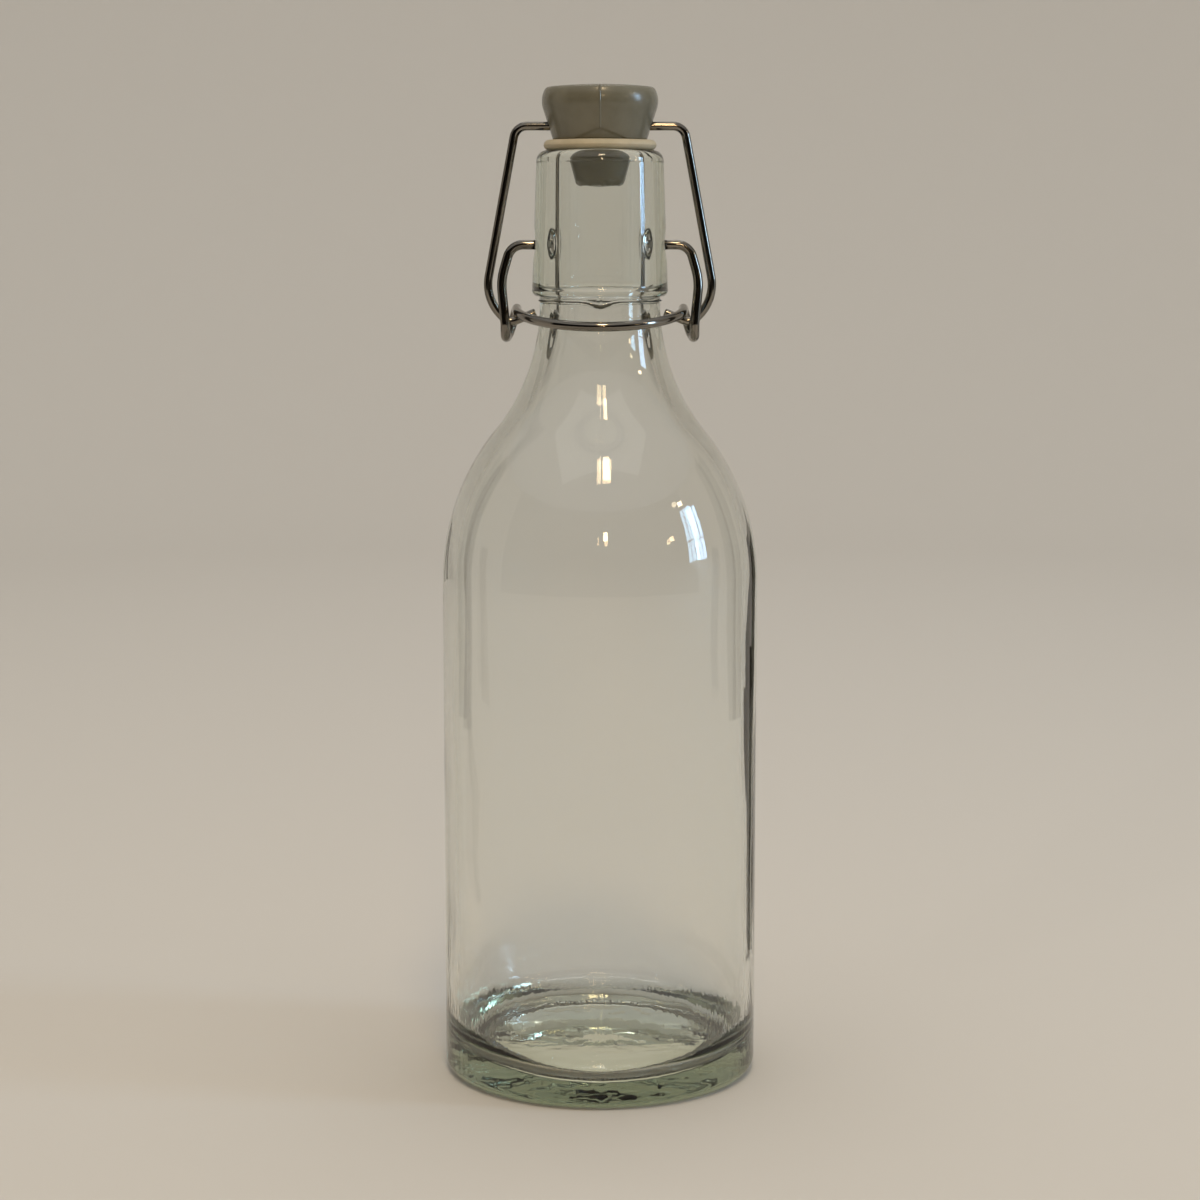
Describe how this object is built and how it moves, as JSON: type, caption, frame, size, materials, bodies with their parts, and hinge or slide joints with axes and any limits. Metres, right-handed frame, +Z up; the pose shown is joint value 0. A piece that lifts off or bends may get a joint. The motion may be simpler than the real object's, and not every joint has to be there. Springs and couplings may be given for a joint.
{
  "type": "swing-top water bottle",
  "caption": "Clear glass swing-top water bottle: a moulded stopper with a rubber gasket hangs on a bail wire that an over-centre lever wire with a finger ring pulls down on the rim.",
  "frame": {"origin": "middle of the base, on the surface that the bottle stands on", "axes": "+Z up along the bottle's axis, X along the closure's pivots, -Y towards the finger ring"},
  "size_m": [0.073, 0.073, 0.2289],
  "materials": {
    "clear_glass": "clear, faintly green",
    "cream_rubber": "smooth, cream",
    "stopper_plastic": "moulded, satin",
    "steel_wire": "bright drawn wire"
  },
  "bodies": {
    "bottle": {"glass_bottle": "clear_glass"},
    "lever": {"lever_wire": "steel_wire"},
    "bail": {"bail_wire": "steel_wire"},
    "stopper": {"stopper": "stopper_plastic", "gasket": "cream_rubber"}
  },
  "joints": [
    {"name": "lever_swing", "type": "hinge", "parent": "bottle", "child": "lever", "pos_m": [0, 0, 0.1929], "axis": [-1, 0, 0], "range_deg": [0, 150]},
    {"name": "bail_swing", "type": "hinge", "parent": "lever", "child": "bail", "pos_m": [0, 0.0016, 0.176], "axis": [-1, 0, 0], "range_deg": [-99.5, 0]},
    {"name": "stopper_tilt", "type": "hinge", "parent": "bail", "child": "stopper", "pos_m": [0, 0, 0.2196], "axis": [-1, 0, 0], "range_deg": [-51.5, 0]}
  ],
  "couplings": [
    {"joint": "bail_swing", "follows": "lever_swing", "ratio": -0.66},
    {"joint": "stopper_tilt", "follows": "lever_swing", "ratio": -0.34}
  ]
}
